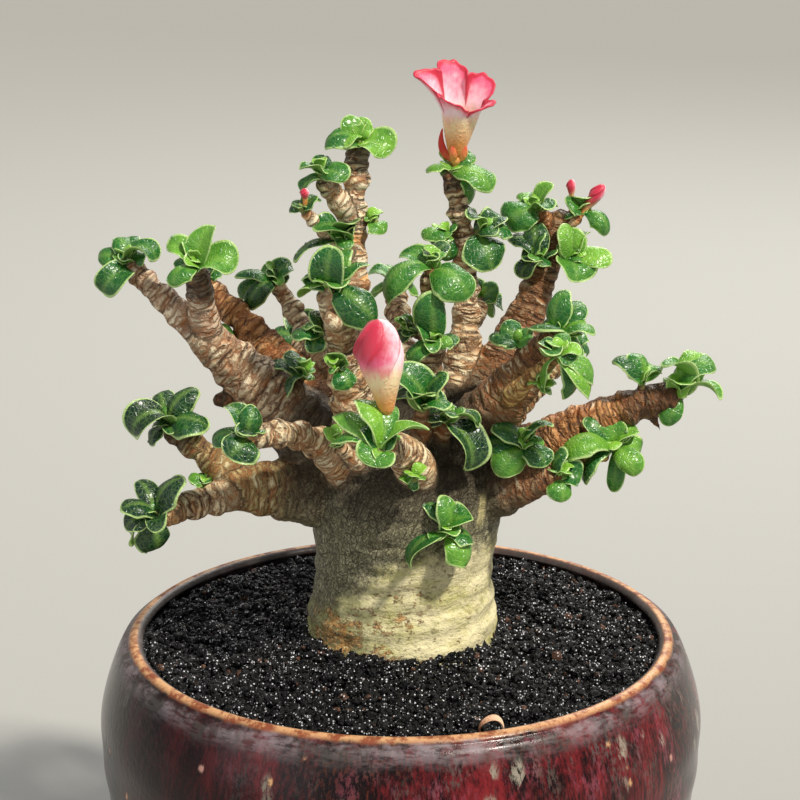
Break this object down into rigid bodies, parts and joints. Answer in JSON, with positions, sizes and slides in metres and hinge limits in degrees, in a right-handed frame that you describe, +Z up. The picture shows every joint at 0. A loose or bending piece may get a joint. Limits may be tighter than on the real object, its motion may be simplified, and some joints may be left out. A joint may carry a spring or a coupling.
{
  "type": "potted desert rose plant",
  "caption": "Dwarf desert rose with a swollen bare trunk, ringed stubby branches, curled glossy leaves and a pink flower, in a round glazed bowl of black granular soil.",
  "frame": {"origin": "on the bowl's axis, at the underside of its foot ring, which is the face it stands on", "axes": "+Z up along the bowl's axis, -Y towards the viewer's side, where the pink bud and the trunk's leafy shoot are, +X to the viewer's right"},
  "size_m": [0.2057, 0.2028, 0.3071],
  "materials": {
    "glaze": "glossy oxblood to near-black glaze with fine downward streaks, a blue-grey frosted band under the rim, tan speckles at the belly and a thin tan edge on the lip",
    "mesh_plastic": "dull black plastic",
    "soil": "loose black granules 2 to 3 mm across with a damp glitter and a few brown bits",
    "bark": "smooth olive-cream skin with level wrinkles low down, grey-brown cracked bark above, and cream to rust limbs with dark ring scars",
    "leaf": "glossy dark green with a pale midrib and a thin yellow-green margin, paler underneath",
    "petal": "soft satin, white-pink inside running to pink and red margins, cream-peach on the tube",
    "sepal": "satin red to orange",
    "dry_scale": "dry matt orange-brown"
  },
  "bodies": {
    "root": {"pot": "glaze", "drain_mesh": "mesh_plastic", "caudex": "bark", "soil": "soil", "dried_scale": "dry_scale", "flower_calyx": "sepal", "flower_corolla": "petal", "front_bud": "petal", "right_bud": "petal", "right_small_bud": "petal", "left_tiny_bud": "petal", "leaves_left_outer": "leaf", "leaves_left_upright": "leaf", "leaves_left_middle": "leaf", "leaves_left_middle_low": "leaf", "leaves_left_back": "leaf", "leaves_crown_left": "leaf", "leaves_left_front": "leaf", "leaves_left_low_upper": "leaf", "leaves_left_low_lower": "leaf", "leaves_left_fork": "leaf", "leaves_front_tall": "leaf", "leaves_front_tall_side": "leaf", "leaves_front_tall_face": "leaf", "leaves_tall_left": "leaf", "leaves_tall_left_side": "leaf", "leaves_tall_left_twig": "leaf", "leaves_tall_left_front": "leaf", "leaves_tall_left_right": "leaf", "leaves_tall_right": "leaf", "leaves_tall_right_left": "leaf", "leaves_tall_right_right": "leaf", "leaves_centre_tall": "leaf", "leaves_centre_upper": "leaf", "leaves_centre_left": "leaf", "leaves_centre_front": "leaf", "leaves_bud_limb": "leaf", "leaves_front_twig": "leaf", "leaves_bud_limb_under": "leaf", "leaves_front_right": "leaf", "leaves_right_low_spur": "leaf", "leaves_right_low": "leaf", "leaves_right_low_twig": "leaf", "leaves_right_long_top": "leaf", "leaves_right_long": "leaf", "leaves_right_fan": "leaf", "leaves_right_fan_lower": "leaf", "leaves_right_fan_nub": "leaf", "leaves_right_inner": "leaf", "leaves_right_middle": "leaf", "leaves_right_upper_left": "leaf", "leaves_right_upper_right": "leaf", "leaves_right_crotch": "leaf", "leaves_trunk_front": "leaf", "leaves_back_twig": "leaf", "leaves_back_left": "leaf", "leaves_back_outer_left": "leaf", "leaves_back_middle": "leaf", "leaves_back_low": "leaf", "leaves_back_right": "leaf"}
  },
  "joints": []
}
